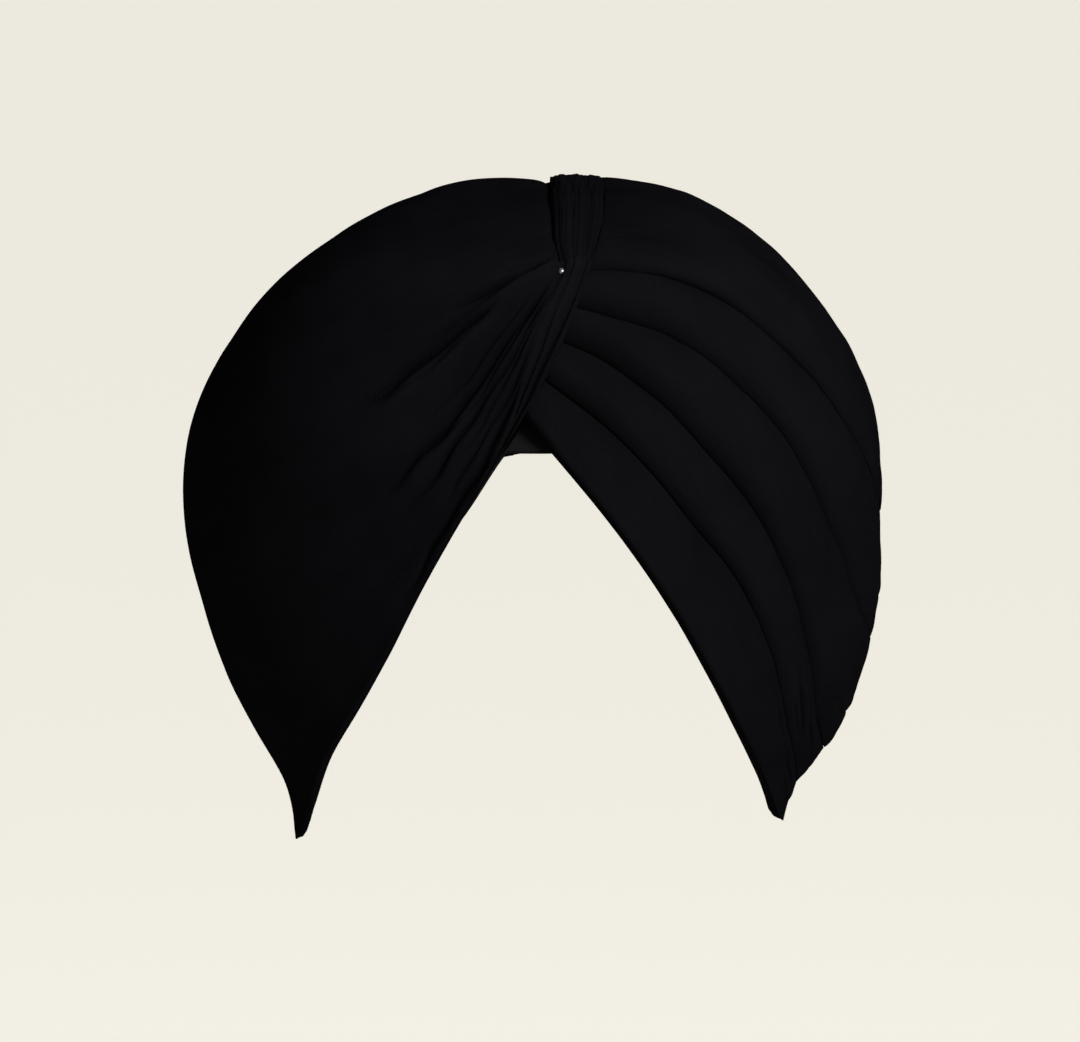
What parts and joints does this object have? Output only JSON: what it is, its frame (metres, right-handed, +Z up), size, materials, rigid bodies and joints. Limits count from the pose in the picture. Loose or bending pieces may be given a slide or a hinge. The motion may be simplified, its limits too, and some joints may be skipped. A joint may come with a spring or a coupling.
{
  "type": "pagri turban",
  "caption": "Wound black cotton turban in its worn form: layered diagonal wraps, a gathered crown band, and a hollow open below for the head.",
  "frame": {"origin": "seat of the turban: the highest point of the hollow, where the top of the head bears", "axes": "+X to the wearer's left, -Y to the wearer's face, +Z up"},
  "size_m": [0.2386, 0.227, 0.2305],
  "materials": {
    "under_cloth": "plain black cotton, matte",
    "black_voile": "black cotton voile in wound layers, matte with a faint sheen along the folds",
    "pin_steel": "small round steel head"
  },
  "bodies": {
    "root": {"under_turban": "under_cloth", "layer_1": "black_voile", "layer_2": "black_voile", "layer_3": "black_voile", "layer_4": "black_voile", "layer_5": "black_voile", "right_wrap": "black_voile", "crown_band": "black_voile", "pin": "pin_steel"}
  },
  "joints": []
}
